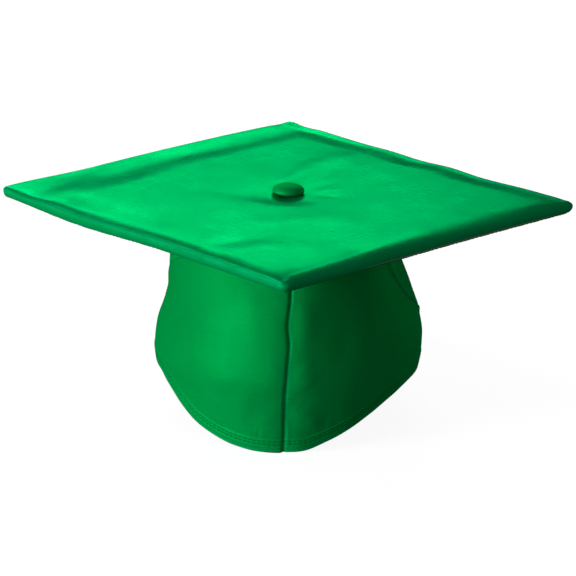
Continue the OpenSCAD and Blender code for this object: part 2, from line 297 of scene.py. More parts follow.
# Soft ridges and valleys of the top cover: (x0, y0, x1, y1, width, height), in millimetres
TOP_FOLDS = [
    (-134, -26, -118, 30, 9, 0.6),
    (-122, 10, -100, 66, 8, 0.6),
    (-6, 6, 14, 56, 7, 0.6),
    (4, 40, 40, 92, 9, 0.6),
    (10, 12, 24, 60, 6, -0.3),
    (10, 6, 34, 26, 5, -0.2),
    (12, -4, 34, -12, 4, -0.15),
    (10, 2, 36, 8, 4, 0.07),
    (-4, -2, -38, -17, 11, -0.22),
    (-50, -118, -6, -88, 7, -0.4),
    (-24, -76, 40, -44, 10, 0.25),
    (-34, -128, 0, -104, 9, 0.4),
    (0, -150, 30, -112, 8, -0.3),
]


def edge_distances(x, y):
    """Distances in from the board's four edges: front-left, front-right, back-left, back-right."""
    a, b = (x - y) / math.sqrt(2), (x + y) / math.sqrt(2)
    return HALF_SIDE + b, HALF_SIDE - a, HALF_SIDE + a, HALF_SIDE - b


def by_edge(x, y):
    """For each edge its name, the distance in from it and the place along it, in millimetres."""
    a, b = (x - y) / math.sqrt(2) / MM, (x + y) / math.sqrt(2) / MM
    distances = [d / MM for d in edge_distances(x, y)]
    return zip(("front_left", "front_right", "back_left", "back_right"), distances, (a, b, b, a))


def edge_step(table, half_widths, edge, inward, along):
    """A smooth step of the height in a table, reached outside the given distance from an edge."""
    reach = curve_through([(p, d) for p, d, _ in table[edge]], along)
    height = curve_through([(p, h) for p, _, h in table[edge]], along)
    if half_widths is None:
        return height * np.clip(1 - inward / reach, 0, 1) ** 2.2
    half = np.minimum(half_widths[edge], 0.95 * reach)
    return height * (1 - smooth_step((inward - reach + half) / (2 * half)))


def top_height(x, y):
    """Height of the top cover over the padded board."""
    falls, rises = 0, 0
    for edge, inward, along in by_edge(x, y):
        if edge in SHOULDERS:
            falls = falls + edge_step(SHOULDERS, None, edge, inward, along) ** 3
        else:
            falls = falls + edge_step(FALLS, FALL_HALF_W_MM, edge, inward, along) ** 3
            rises = rises + edge_step(RISES, RISE_HALF_W_MM, edge, inward, along) ** 3
    near = np.minimum.reduce(edge_distances(x, y)) / MM
    r_mm = np.hypot(x, y) / MM
    forward = bump(np.degrees(np.arctan2(x, -y)) + 6, 40) * smooth_step(r_mm / 6)
    round_dimple = 0.6 * bump(r_mm, DIMPLE_W_MM) + 0.4 * bump(r_mm, 2.0 * DIMPLE_W_MM)
    long_dimple = LONG_DIMPLE * (1 - smooth_step((r_mm - LONG_DIMPLE_FROM_MM) / LONG_DIMPLE_OVER_MM))
    dimple = -DIMPLE_DEPTH_MM * (round_dimple + (long_dimple - round_dimple) * forward)
    inland = smooth_step(near / 7)
    folds = fold_height(x / MM, y / MM, TOP_FOLDS) * inland
    swell = 0.18 * soft_noise(x, y, 60 * MM, 3.7) * inland
    ripple = 0.05 * soft_noise(x, y, 19 * MM, 9.1) * inland
    height = PAD_SWELL_MM - np.cbrt(falls) + np.cbrt(rises) + dimple + folds + swell + ripple
    lowest = (CORE_HIGH.z - BOARD_TOP) / MM + 1.3
    return BOARD_TOP + MM * (lowest + 0.35 * np.logaddexp(0, (height - lowest) / 0.35))


def roll_starts(x, y):
    """How far in from the outline the roll over the edge begins, in metres. It narrows at the corners."""
    weights, starts = 0, 0
    for edge, inward, along in by_edge(x, y):
        weight = bump(inward, 6) + 1e-9
        weights = weights + weight
        starts = starts + weight * curve_through(ROLL_STARTS[edge], along)
    second = np.sort(np.array(edge_distances(x, y)), axis=0)[1]
    room = ROLL_W + 0.7 * np.maximum(second - CORNER_R, 0)
    return np.minimum(MM * starts / weights, room)


def roll_squareness(x, y):
    weights, powers = 0, 0
    for edge, inward, _ in by_edge(x, y):
        weight = bump(inward, 6) + 1e-9
        weights = weights + weight
        powers = powers + weight * ROLL_SQUARE[edge]
    return powers / weights


def edge_sag(x, y):
    """How far the edges stand above straight: the front-left one droops and the front-right one lifts."""
    front_left, front_right, back_left, back_right = (d / MM for d in edge_distances(x, y))
    droop = FRONT_LEFT_DROOP_MM * bump(front_left, 16) * bump(back_left - 66, 50)
    lift = FRONT_RIGHT_LIFT_MM * bump(front_right, 16) * bump(back_right - 95, 80)
    return MM * (lift - droop)


def board_outline(half_side, corner_r, per_side=60, per_corner=9):
    """Points and outward normals of a rounded square that stands on a corner, once around."""
    points, normals = [], []
    for quarter in range(4):
        turn = math.radians(45 + 90 * quarter)
        out, side = np.array([math.cos(turn), math.sin(turn)]), np.array([-math.sin(turn), math.cos(turn)])
        reach = half_side - corner_r
        for t in np.linspace(-1, 1, per_side, endpoint=False):
            eased = math.sin(t * math.pi / 2) * 0.35 + t * 0.65
            points.append(out * half_side + side * reach * eased)
            normals.append(out)
        for a in np.linspace(0, math.pi / 2, per_corner, endpoint=False):
            direction = out * math.cos(a) + side * math.sin(a)
            points.append((out + side) * reach + direction * corner_r)
            normals.append(direction)
    return np.array(points), np.array(normals)


def board_top_rings():
    """Rings of the top cover from the centre out over the rolled edge and in under the board."""
    outline, outward = board_outline(HALF_SIDE, CORNER_R)
    roll = roll_starts(outline[:, 0], outline[:, 1])[:, None]
    power = roll_squareness(outline[:, 0], outline[:, 1])
    spread = np.concatenate([np.linspace(0.012, 0.1, 10), np.linspace(0.12, 0.7, 40),
                             np.linspace(0.71, 0.99, 34)])
    shoulder = outline - outward * roll
    rings = []
    for share in spread:
        flat = shoulder * share
        rings.append(np.column_stack([flat, top_height(flat[:, 0], flat[:, 1])]))
    rim_top = top_height(shoulder[:, 0], shoulder[:, 1])
    low = BOARD_UNDER + 0.3 * MM
    middle = (rim_top + low) / 2
    for degrees in np.concatenate([np.linspace(0, 90, 16), np.linspace(101, 180, 8)]):
        angle = math.radians(degrees)
        width = roll if degrees <= 90 else ROLL_W
        across = max(math.sin(angle), 0) ** power[:, None]
        rise = math.copysign(1, math.cos(angle)) * abs(math.cos(angle)) ** power
        bulge = ROLL_BULGE * bump(degrees - 75, 34)
        flat = outline + outward * (width * (across - 1) + bulge)
        rings.append(np.column_stack([flat, middle + (rim_top - low) / 2 * rise]))
    for inset in np.linspace(1, 6, 6) * MM:
        flat = outline - outward * (ROLL_W + inset)
        rings.append(np.column_stack([flat, np.full(len(flat), low + 0.08 * inset)]))
    rings = np.array(rings)
    rings[..., 2] += edge_sag(rings[..., 0], rings[..., 1])
    return rings


# ---- Shape of the skull cap ----

# Half width of each side by height, and half length by height, all in millimetres
LEFT_WIDTH = [(0, 73), (14, 75.5), (27, 76.5), (37, 77.7), (48, 76.5), (58, 73.5), (68, 70.5), (80, 69.5),
              (92, 69), (105, 66), (121, 59)]
RIGHT_WIDTH = [(0, 77), (14, 79), (27, 81), (37, 82.7), (46, 83), (58, 81), (72, 76.2), (90, 69),
               (105, 63.5), (121, 58)]
LENGTH = [(0, 89.5), (20, 90.5), (40, 91), (60, 87), (80, 81), (100, 74), (121, 67)]
# Height of the hem by azimuth: it comes to a soft point at the front, a little to the left of the seam
LEFT_HEM = [(0, 0), (10, 0), (20, 1.1), (30, 3.8), (40, 8.2), (50, 15.6), (60, 23.2), (70, 27.5), (85, 28),
            (105, 26.5)]
RIGHT_HEM = [(0, 0), (10, 1.2), (20, 5.6), (30, 11.1), (40, 17.7), (50, 23.6), (60, 27.1), (75, 28.3),
             (105, 26.5)]
NAPE_START_AZ, NAPE_FLAT_AZ = 105, 155
# The elastic reaches this far to each side of the middle of the back
NAPE_REACH_AZ = 65
NAPE_AZ = 180 - NAPE_REACH_AZ, 180 + NAPE_REACH_AZ

# The front seam wanders a little: its place to the side by share of the wall's height
FRONT_SEAM = [(0, 2.1), (0.24, 2.1), (0.4, 2.9), (0.53, 3.7), (0.61, 2.5), (0.74, 3.7), (1, 3.4)]
# Azimuth of each side seam by share of the wall's height
LEFT_SEAM = [(0, 112), (0.4, 100), (0.6, 86), (0.7, 73), (0.82, 57), (1, 44)]
RIGHT_SEAM = [(0, 112), (0.3, 97), (0.42, 84), (0.55, 72), (0.7, 66), (0.83, 63), (1, 50)]

# Heights at which the right front panel turns into the front seam most broadly
FRONT_SEAM_LOBES_MM = (76, 50, 24)
HEM_ROWS_MM = (4.3, 6.1)
HEM_FOLD_MM = 7.6
HEM_THICK_MM = 0.6
ELASTIC_ROW_MM = 9.0
STITCH_PITCH = 2.9 * MM
FRONT_KEEL_MM, GATHER_MM = 1.5, 2.6

# Soft ridges and valleys of the front panels: (around, up, around, up, width, height), in millimetres,
# with around measured from the middle of the front, right side positive
FRONT_FOLDS = [
    (-16, 96, -52, 80, 9, 0.5),
    (-20, 84, -44, 60, 8, -0.3),
    (-66, 70, -70, 40, 12, 0.3),
    (-34, 48, -20, 26, 9, 0.3),
    (-14, 30, -22, 12, 5, -0.3),
    (-40, 22, -52, 30, 5, 0.3),
    (9, 88, 16, 66, 7, 0.6),
    (10, 54, 20, 42, 7, 0.6),
    (6, 36, 16, 26, 5, -0.4),
    (8, 30, 24, 16, 5, 0.6),
    (40, 60, 66, 74, 10, 0.4),
    (98, 84, 118, 70, 3.5, 0.8),
    (96, 80, 116, 66, 3, -0.7),
]


def hem_height(az):
    """Height of the hem in millimetres: a point at the front, high at the sides, flat across the nape."""
    turned = (np.asarray(az, float) + 180) % 360 - 180
    side = np.abs(turned)
    front = np.where(turned < 0, curve_through(LEFT_HEM, side), curve_through(RIGHT_HEM, side))
    back = 1 - smooth_step((side - NAPE_START_AZ) / (NAPE_FLAT_AZ - NAPE_START_AZ))
    return HEM_THICK_MM + front * back


def wall_height(az, share):
    low = hem_height(az)
    return low + (WALL_TOP_MM - low) * share


def half_width(az, z):
    left = (np.asarray(az, float) % 360) > 180
    return np.where(left, curve_through(LEFT_WIDTH, z), curve_through(RIGHT_WIDTH, z))


def wall_points(az, z, out):
    """Points of the skull cap's wall in metres, from azimuth, and height and displacement in millimetres."""
    a = np.radians(az)
    x = (half_width(az, z) + out) * np.sin(a)
    y = -(curve_through(LENGTH, z) + out) * np.cos(a)
    return MM * np.stack([x, y, z + 0 * a], axis=-1)


def around_mm(az, z):
    """Distance around the wall from the middle of the front, right side positive."""
    return np.radians(az) * 0.5 * (half_width(az, z) + curve_through(LENGTH, z))


def front_seam_az(share):
    return np.degrees(curve_through(FRONT_SEAM, share) / half_width(1, share * WALL_TOP_MM))


def side_seam_az(share, side):
    return curve_through(RIGHT_SEAM if side > 0 else LEFT_SEAM, share)


def wall_rows(hem_steps, body_steps, low=0.0, high=1.0):
    """Shares of the wall's height, close together over the turned hem."""
    hem = 12 / WALL_TOP_MM
    return np.concatenate([np.linspace(low, hem, hem_steps, endpoint=False),
                           np.linspace(hem, high, body_steps)])


def dense_ends(count, reach):
    """Shares from 0 to 1 that lie closer together near both ends."""
    t = np.linspace(0, 1, count)
    return t - reach * np.sin(2 * math.pi * t) / (2 * math.pi)


def grid_between(rows, columns, start_at, end_at):
    """Azimuth and share of every point of a grid that runs from one line of azimuth by share to another."""
    share = rows[:, None] + 0 * columns[None, :]
    start, end = start_at(share), end_at(share)
    return start + (end - start) * columns[None, :], share


def front_grid(side, rows, columns):
    return grid_between(rows, columns, front_seam_az, lambda share: side * side_seam_az(share, side))


def back_grid(rows, columns):
    return grid_between(rows, columns, lambda share: side_seam_az(share, 1),
                        lambda share: 360 - side_seam_az(share, -1))


def hem_relief(height, around):
    """The turned hem: two sunk rows of stitches, slight puckers above them and a full edge."""
    fold = 0.5 * (1 - smooth_step((height - HEM_FOLD_MM + 1) / 1.6))
    rows = sum(-0.35 * bump(height - row, 0.55) for row in HEM_ROWS_MM)
    here = 0.5 + 0.5 * np.sin(around * 0.21 + 2.2 * np.sin(around * 0.053))
    pucker = 0.16 * here * np.sin(around * 1.15 + 2.6 * np.sin(around * 0.37)) * bump(height - 11, 3.5)
    return fold + rows + pucker


def seam_relief(distance, depth, width):
    """A sunk seam with a soft roll beside it, by distance from the seam's line."""
    return -depth * bump(distance, width) + 0.12 * depth * bump(distance - 3.4 * width, 2.2 * width)


def drape(az, z, seed):
    """Broad unevenness of soft cloth over the wall."""
    around = around_mm(az, z)
    return 0.5 * soft_noise(around, z, 46, seed) + 0.2 * soft_noise(around, z, 15, seed + 5)


def front_relief(az, share, side, fine=True):
    """Displacement of a front panel in millimetres. The lining follows the broad part only."""
    z = wall_height(az, share)
    around = around_mm(az, z)
    from_front = np.abs(around - around_mm(front_seam_az(share), z))
    from_side = np.abs(around - around_mm(side * side_seam_az(share, side), z))
    calm = smooth_step((WALL_TOP_MM - z) / 12)
    keel = FRONT_KEEL_MM * bump(from_front, 20)
    out = calm * (drape(az, z, 2.0) + fold_height(around, z, FRONT_FOLDS) + keel)
    if not fine:
        return out - 1.6 * bump(from_front, 5) - 0.8 * bump(from_side, 4)
    pull = 0.12 * np.sin(z * 0.55 + 2 * np.sin(z * 0.13)) * bump(from_front - 5, 5)
    broad = 0.4 if side < 0 else 1.2 + 0.4 * sum(bump(z - place, 9) for place in FRONT_SEAM_LOBES_MM)
    narrow_w = 1.4 if side < 0 else 1.0
    out = out + pull - broad * bump(from_front, 6) - (1.8 - broad) * bump(from_front, narrow_w)
    out = out + seam_relief(from_side, 1.1, 1.1) + 0.5 * bump(from_side - 2.2, 1.0)
    return out + hem_relief(z - hem_height(az), around)


def gather_wave(az, around):
    """Rounded gathers across the nape, none at the side seams, from 0 to 1."""
    nape = smooth_step((NAPE_REACH_AZ - np.abs(az - 180)) / 10)
    phase = around * 0.72 + 1.7 * np.sin(around * 0.11) + 0.9 * np.sin(around * 0.29 + 1)
    return nape * (0.5 + 0.5 * np.sin(phase)) ** 1.3


def back_relief(az, share, fine=True):
    """Displacement of the back panel in millimetres: gathers above the elastic that fade up the back."""
    z = wall_height(az, share)
    around = around_mm(az, z)
    height = z - hem_height(az)
    to_right = np.abs(around - around_mm(side_seam_az(share, 1), z))
    to_left = np.abs(around - around_mm(360 - side_seam_az(share, -1), z))
    calm = smooth_step((WALL_TOP_MM - z) / 12)
    out = calm * drape(az, z, 7.0)
    if not fine:
        return out - 0.8 * bump(np.minimum(to_right, to_left), 4)
    fade = np.exp(-np.maximum(height - ELASTIC_ROW_MM, 0) / 17)
    channel = 1 - 0.75 * bump(height - ELASTIC_ROW_MM, 1.4)
    out = out + GATHER_MM * gather_wave(az, around) * fade * channel
    return out + seam_relief(np.minimum(to_right, to_left), 1.0, 1.4)


def edge_wear_and_highlight(rows, columns, share_rows=0.012, share_columns=0.012):
    """Rubbed wear and painted highlight along a panel's outline, from 0 inside to 1 at its edges."""
    by_row = np.minimum(rows, 1 - rows)[:, None] / share_rows
    by_column = np.minimum(columns, 1 - columns)[None, :] / share_columns
    return bump(np.minimum(by_row, by_column), 1.0)


# ---- Pieces: the board ----

def ring_uv(rings):
    """Each point's place on the flat cloth: the board's own two directions, in metres."""
    x, y = rings[..., 0], rings[..., 1]
    return np.stack([(x - y) / math.sqrt(2), (x + y) / math.sqrt(2)], axis=-1)


def closed_rings(name, rings, thickness, uv, wear_and_highlight=None):
    """A closed sheet of cloth under rings of outer points that run around and around from the centre out."""
    count, around = rings.shape[:2]
    padded = np.concatenate([rings[:, -1:], rings, rings[:, :1]], axis=1)
    normal = -grid_normals(padded)[:, 1:-1]
    inner = rings - normal * thickness
    total = count * around
    points = np.concatenate([rings.reshape(-1, 3), inner.reshape(-1, 3)])
    first, last = np.arange(around), (count - 1) * around + np.arange(around)
    faces = [quads(count, around, 0, wrap=True, flip=True), quads(count, around, total, wrap=True)]
    for edge, turned in ((first, False), (last, True)):
        following = np.roll(edge, -1)
        band = np.stack([edge, following, following + total, edge + total], axis=1)
        faces.append(band[:, ::-1] if turned else band)
    wear_and_highlight = np.zeros((count, around)) if wear_and_highlight is None else wear_and_highlight
    flat_uv = uv.reshape(-1, 2)
    return new_object(name, points, np.concatenate(faces), np.concatenate([flat_uv, flat_uv]),
                      np.concatenate([wear_and_highlight.ravel(), 0 * wear_and_highlight.ravel()]))


def make_board_top():
    rings = board_top_rings()
    drop = (BOARD_TOP - rings[..., 2]) / (BOARD_TOP - BOARD_UNDER)
    near_edge = np.minimum.reduce(edge_distances(rings[..., 0], rings[..., 1])) < 9 * MM
    # Paler on the upper part of the rolled edge: rubbed wear and a painted highlight on the ridge
    wear_and_highlight = bump(drop - 0.35, 0.28) * near_edge
    return closed_rings("satin_board_top", rings, CLOTH_T, ring_uv(rings), wear_and_highlight)


def make_board_under():
    outline, outward = board_outline(HALF_SIDE, CORNER_R)
    edge = outline - outward * 2.6 * MM
    rings = []
    for share in np.concatenate([np.linspace(0.004, 0.9, 44), np.linspace(0.915, 1, 14)]):
        flat = edge * share
        near = (1 - share) * HALF_SIDE / MM
        pucker = 0.12 * np.sin(np.arange(len(flat)) * 1.7) * math.exp(-near / 4)
        hang = 0.25 * soft_noise(flat[:, 0], flat[:, 1], 55 * MM, 5.5) * (1 - math.exp(-near / 8))
        clear = smooth_step((np.hypot(flat[:, 0] / CROWN_HALF_W, flat[:, 1] / CROWN_HALF_L) - 1.0) / 0.12)
        z = BOARD_UNDER + MM * (pucker + hang * clear) + edge_sag(flat[:, 0], flat[:, 1])
        rings.append(np.column_stack([flat, z]))
    rings = np.array(rings)[::-1]
    return closed_rings("satin_board_under", rings, CLOTH_T * 0.8, ring_uv(rings))


def make_board_thread():
    outline, outward = board_outline(HALF_SIDE, CORNER_R)
    flat = outline - outward * 3.4 * MM
    z = BOARD_UNDER - 0.15 * MM + edge_sag(flat[:, 0], flat[:, 1])
    path = np.column_stack([flat, z])
    path = np.concatenate([path, path[:1]])
    down = np.tile([0.0, 0.0, -1.0], (len(path), 1))
    return stitch_row("thread_board_edge", path, down, pitch=3.4 * MM)


def make_wadding():
    """A soft pad between the chipboard and the top cover, with rounded edges and a dip under the button."""
    outline, _ = board_outline(HALF_SIDE - 1.6 * MM, CORNER_R)
    low, rings = CORE_HIGH.z + 0.1 * MM, []
    for share in np.concatenate([np.linspace(0.07, 0.9, 40), np.linspace(0.92, 1, 9)]):
        flat = outline * share
        roof = top_height(flat[:, 0], flat[:, 1]) - CLOTH_T - 0.35 * MM
        edge = 1 - max(0, (share - 0.96) / 0.04) ** 2
        rings.append(np.column_stack([flat, low + np.maximum(roof - low, 0.3 * MM) * max(edge, 0.12)]))
    for share in (0.99, 0.5, 0.07):
        flat = outline * share
        rings.append(np.column_stack([flat, np.full(len(flat), low)]))
    rings = np.array(rings)
    rings[..., 2] += edge_sag(rings[..., 0], rings[..., 1])
    count, around = rings.shape[:2]
    faces = [quads(count, around, 0, wrap=True, flip=True)]
    first, last = np.arange(around), (count - 1) * around + np.arange(around)
    faces.append(np.stack([first, np.roll(first, -1), np.roll(last, -1), last], axis=1))
    uv = ring_uv(rings).reshape(-1, 2)
    return new_object("wadding_pad", rings.reshape(-1, 3), np.concatenate(faces), uv)


# ---- Pieces: the button ----

# From the middle of the top around the rim to the back plate: share of the radius and share of the height
BUTTON_PROFILE = [(0.02, 1.0), (0.2, 0.992), (0.4, 0.965), (0.58, 0.915), (0.74, 0.83), (0.86, 0.72),
                  (0.94, 0.58), (0.985, 0.44), (1.0, 0.30), (0.985, 0.17), (0.94, 0.07), (0.86, 0.015),
                  (0.74, 0.0), (0.66, 0.03)]


def make_button_cover():
    """Satin drawn over a domed button: a crowned top, a rolled rim and small pleats gathered underneath."""
    t = np.linspace(0, len(BUTTON_PROFILE) - 1, 60)
    across, up = (curve_through(list(enumerate(values)), t) for values in zip(*BUTTON_PROFILE))
    angle = np.linspace(0, 2 * math.pi, 160, endpoint=False)
    under = smooth_step((t - 8.5) / 4)[:, None]
    pleat = 0.22 * MM * under * np.sin(26 * angle)[None, :]
    pull = 0.05 * MM * (1 - under) * np.sin(7 * angle + 1)[None, :] * across[:, None]
    r = across[:, None] * BUTTON_HIGH.x + pull - np.abs(pleat) * 0.4
    z = BUTTON_LOW.z + up[:, None] * (BUTTON_HIGH.z - BUTTON_LOW.z) + pleat * 0.6 + 0 * angle
    rings = np.stack([r * np.cos(angle), r * np.sin(angle), z], axis=-1)
    # A paler band around the button's rim: rubbed wear and a painted highlight
    wear_and_highlight = 0.5 * bump(up[:, None] - 0.45, 0.2) + 0 * angle
    return closed_rings("satin_button", rings, 0.4 * MM, ring_uv(rings), wear_and_highlight)


# ---- Pieces: the skull cap ----

def wall_sheet(name, az, share, out, thickness, rows, columns, side):
    """A closed sheet on the wall from grids of azimuth, share and displacement. Left ones run backwards."""
    z = wall_height(az, share)
    points = wall_points(az, z, out)
    uv = MM * np.stack([around_mm(az, z), z], axis=-1)
    # Paler towards the panel's outline: rubbed wear and a painted highlight along the seams
    grids = points, np.broadcast_to(thickness, az.shape), uv, edge_wear_and_highlight(rows, columns)
    if side < 0:
        grids = (grid[:, ::-1] for grid in grids)
    return cloth_sheet(name, *grids)


def make_front_panel(side):
    rows, columns = wall_rows(30, 84), dense_ends(130, 0.75)
    az, share = front_grid(side, rows, columns)
    out = front_relief(az, share, side)
    height = wall_height(az, share) - hem_height(az)
    thickness = CLOTH_T + 0.6 * MM * (1 - smooth_step((height - HEM_FOLD_MM) / 1.2))
    return wall_sheet("satin_front_" + SIDE_NAME[side], az, share, out, thickness, rows, columns, side)


def make_back_panel():
    rows, columns = wall_rows(26, 74, high=0.992), dense_ends(470, 0.3)
    az, share = back_grid(rows, columns)
    return wall_sheet("satin_back", az, share, back_relief(az, share), CLOTH_T * 0.75, rows, columns, 1)


def make_stiffener(side):
    rows, columns = np.linspace(0.1, 0.78, 44), np.linspace(0, 1, 40)
    az, share = grid_between(rows, columns, lambda share: front_seam_az(share) + side * 3.5,
                             lambda share: side * (38 + 22 * (1 - share)))
    out = front_relief(az, share, side, fine=False) - 1.25
    return wall_sheet("buckram_" + SIDE_NAME[side], az, share, out, 0.6 * MM, rows, columns, side)


def make_front_lining(side):
    rows, columns = np.linspace(0.088, 0.985, 60), dense_ends(80, 0.5)
    az, share = front_grid(side, rows, columns)
    out = front_relief(az, share, side, fine=False) - LINING_IN / MM
    return wall_sheet("lining_cloth_" + SIDE_NAME[side], az, share, out, LINING_T, rows, columns, side)


def make_back_lining():
    rows, columns = np.linspace(0.115, 0.985, 60), dense_ends(150, 0.2)
    az, share = back_grid(rows, columns)
    out = back_relief(az, share, fine=False) - LINING_IN / MM
    return wall_sheet("lining_cloth_back", az, share, out, LINING_T, rows, columns, 1)


def nape_strip(name, heights, inset_mm, thick_mm, azimuths, wave, rows=14, columns=160, lip=0):
    """A strip across the nape at even heights above the hem. Its lip reaches out under the elastic."""
    low_mm, high_mm = heights
    height = np.concatenate([np.full(lip, low_mm), np.linspace(low_mm, high_mm, rows)])[:, None]
    reach = np.concatenate([np.linspace(1, 0.12, lip), np.zeros(rows)])[:, None]
    rows = rows + lip
    az = np.linspace(*azimuths, columns)[None, :] + 0 * height
    z = hem_height(az) + height
    share = (z - hem_height(az)) / (WALL_TOP_MM - hem_height(az))
    out = back_relief(az, share, fine=False) - inset_mm + wave * np.sin(around_mm(az, z) * 1.4)
    out = out + reach * (back_relief(az, share) - CLOTH_T / MM - out)
    points = wall_points(az, z, out)
    uv = MM * np.stack([around_mm(az, z), z], axis=-1)
    # Paler towards the strip's edges: rubbed wear and a painted highlight
    wear_and_highlight = edge_wear_and_highlight(np.linspace(0, 1, rows), np.linspace(0, 1, columns), 0.08, 0.01)
    return cloth_sheet(name, points, thick_mm * MM, uv, wear_and_highlight)


def make_elastic():
    return nape_strip("elastic_strip", (1.2, 8.2), 1.15, 0.8, NAPE_AZ, 0.05)


def make_casing():
    return nape_strip("casing_tape", (0.5, 10), LINING_IN / MM, LINING_T / MM, NAPE_AZ, 0.12, columns=440,
                      lip=6)


def make_label():
    inset = (LINING_IN + LINING_T) / MM + 0.15
    return nape_strip("blank_label", (14, 30), inset, 0.3, (171, 189), 0.02, rows=20, columns=40)


def crown_sheet(name, z, inset, thickness, size):
    angle = np.linspace(0, 2 * math.pi, 120, endpoint=False)
    rings = []
    for share in np.linspace(1, 0.01, 26):
        x = (CROWN_HALF_W - inset) * share * np.sin(angle)
        y = -(CROWN_HALF_L - inset) * share * np.cos(angle)
        ripple = size * np.array(soft_noise(x, y, 24 * MM, 1.5)) * (1 - share**6)
        rings.append(np.column_stack([x, y, z + ripple]))
    rings = np.array(rings)
    return closed_rings(name, rings, thickness, ring_uv(rings))


def make_crown():
    return crown_sheet("satin_crown", CROWN_LOW.z, 0.0, -CLOTH_T * 0.7, 0.0)


def make_crown_lining():
    return crown_sheet("lining_cloth_crown", CROWN_LOW.z - 0.9 * MM, LINING_IN, LINING_T * -0.9, 0.25 * MM)


# ---- Pieces: the sewing thread ----

def wall_stitches(name, az, z, out, pitch=STITCH_PITCH):
    """A row of stitches along the wall, from azimuth, height and displacement."""
    outward = np.stack([np.sin(np.radians(az)), -np.cos(np.radians(az)), 0 * az], axis=-1)
    return stitch_row(name, wall_points(az, z, out), outward, pitch=pitch)


def make_hem_thread():
    """Both rows of stitches along the front hem, on both sides of the front seam, as one piece."""
    parts = []
    for side in (-1, 1):
        for row in HEM_ROWS_MM:
            seam = float(front_seam_az(np.array(row / 100)))
            az = np.linspace(seam + side * 1.2, side * 110, 420)
            low = hem_height(az)
            share = row / (WALL_TOP_MM - low)
            parts.append(wall_stitches("hem_row", az, low + row, front_relief(az, share, side)))
    return join(parts, "thread_hem")


def make_side_thread(side):
    share = np.linspace(0.03, 0.97, 300)
    az = side * (side_seam_az(share, side) - 1.4)
    out = front_relief(az, share, side)
    return wall_stitches("thread_side_" + SIDE_NAME[side], az, wall_height(az, share), out)


def make_front_thread():
    share = np.linspace(0.09, 0.97, 300)
    az = front_seam_az(share)
    return wall_stitches("thread_front_seam", az, wall_height(az, share), -2.9, pitch=2.6 * MM)


def make_elastic_thread():
    az = np.linspace(*NAPE_AZ, 500)
    low = hem_height(az)
    share = ELASTIC_ROW_MM / (WALL_TOP_MM - low)
    return wall_stitches("thread_elastic", az, low + ELASTIC_ROW_MM, back_relief(az, share))


def make_crown_thread():
    az = np.linspace(0, 360, 260)
    a = np.radians(az)
    reach = 0.5 * MM
    path = np.stack([(CROWN_HALF_W + reach) * np.sin(a), -(CROWN_HALF_L + reach) * np.cos(a),
                     np.full(len(a), (CROWN_LOW.z + CROWN_HIGH.z) / 2)], axis=-1)
    normal = np.stack([np.sin(a), -np.cos(a), 0 * a], axis=-1)
    return stitch_row("thread_crown", path, normal, pitch=3.2 * MM)


def join(parts, name):
    """Joins objects into one and names it."""
    for other in bpy.context.selected_objects:
        other.select_set(False)
    for part in parts:
        part.select_set(True)
    bpy.context.view_layer.objects.active = parts[0]
    bpy.ops.object.join()
    parts[0].name = name
    parts[0].data.name = name
    return parts[0]


# ---- Materials ----

def srgb(red, green, blue):
    """A colour given from 0 to 255, in the linear form that the shaders take."""
    def linear(value):
        c = value / 255
        return c / 12.92 if c <= 0.04045 else ((c + 0.055) / 1.055) ** 2.4
    return linear(red), linear(green), linear(blue), 1.0


class Nodes:
    """A small helper that adds nodes to one material and joins them."""

    def __init__(self, name):
        self.material = bpy.data.materials.new(name)
        self.material.use_nodes = True
        self.tree = self.material.node_tree
        self.shader = self.tree.nodes["Principled BSDF"]

    def add(self, kind, inputs=None, **settings):
        node = self.tree.nodes.new("ShaderNode" + kind)
        for key, value in settings.items():
            setattr(node, key, value)
        for key, value in (inputs or {}).items():
            self.set(node.inputs[key], value)
        return node

    def set(self, socket, value):
        if hasattr(value, "is_output"):
            self.tree.links.new(value, socket)
        else:
            socket.default_value = value

    def math(self, operation, a, b=0.0, c=0.0):
        node = self.add("Math", {0: a, 1: b, 2: c}, operation=operation)
        return node.outputs[0]

    def mix(self, amount, a, b, blend="MIX"):
        node = self.add("Mix", data_type="RGBA", blend_type=blend)
        for socket, value in ((node.inputs[0], amount), (node.inputs[6], a), (node.inputs[7], b)):
            self.set(socket, value)
        return node.outputs[2]

    def times(self, a, b):
        return self.math("MULTIPLY", a, b)

    def ramp(self, value, low, high, to_low, to_high):
        """The value's part between low and high, spread from to_low to to_high and held outside."""
        node = self.add("MapRange", {"Value": value, "From Min": low, "From Max": high, "To Min": to_low,
                                     "To Max": to_high})
        return node.outputs[0]

    def place(self):
        return self.add("TexCoord").outputs["Object"]

    def noise(self, vector, scale, detail=2.0, roughness=0.5):
        inputs = {"Vector": vector, "Scale": scale, "Detail": detail, "Roughness": roughness}
        return self.add("TexNoise", inputs).outputs["Fac"]

    def stretched(self, vector, across, along):
        return self.add("Mapping", {"Vector": vector, "Scale": (across, along, 1.0)}).outputs["Vector"]

    def bands(self, vector, period, direction):
        """Threads side by side, one each period in metres, as a wave from 0 to 1."""
        scale = 2 * math.pi / (20 * period)
        node = self.add("TexWave", {"Vector": vector, "Scale": scale, "Distortion": 0.0, "Detail": 0.0},
                        wave_type="BANDS", bands_direction=direction, wave_profile="SIN")
        return node.outputs["Fac"]

    def bump(self, height, distance, strength, normal=None):
        inputs = {"Height": height, "Distance": distance, "Strength": strength}
        if normal is not None:
            inputs["Normal"] = normal
        return self.add("Bump", inputs).outputs["Normal"]

    def finish(self, **shader):
        for key, value in shader.items():
            self.set(self.shader.inputs[key.replace("_", " ")], value)
        return self.material


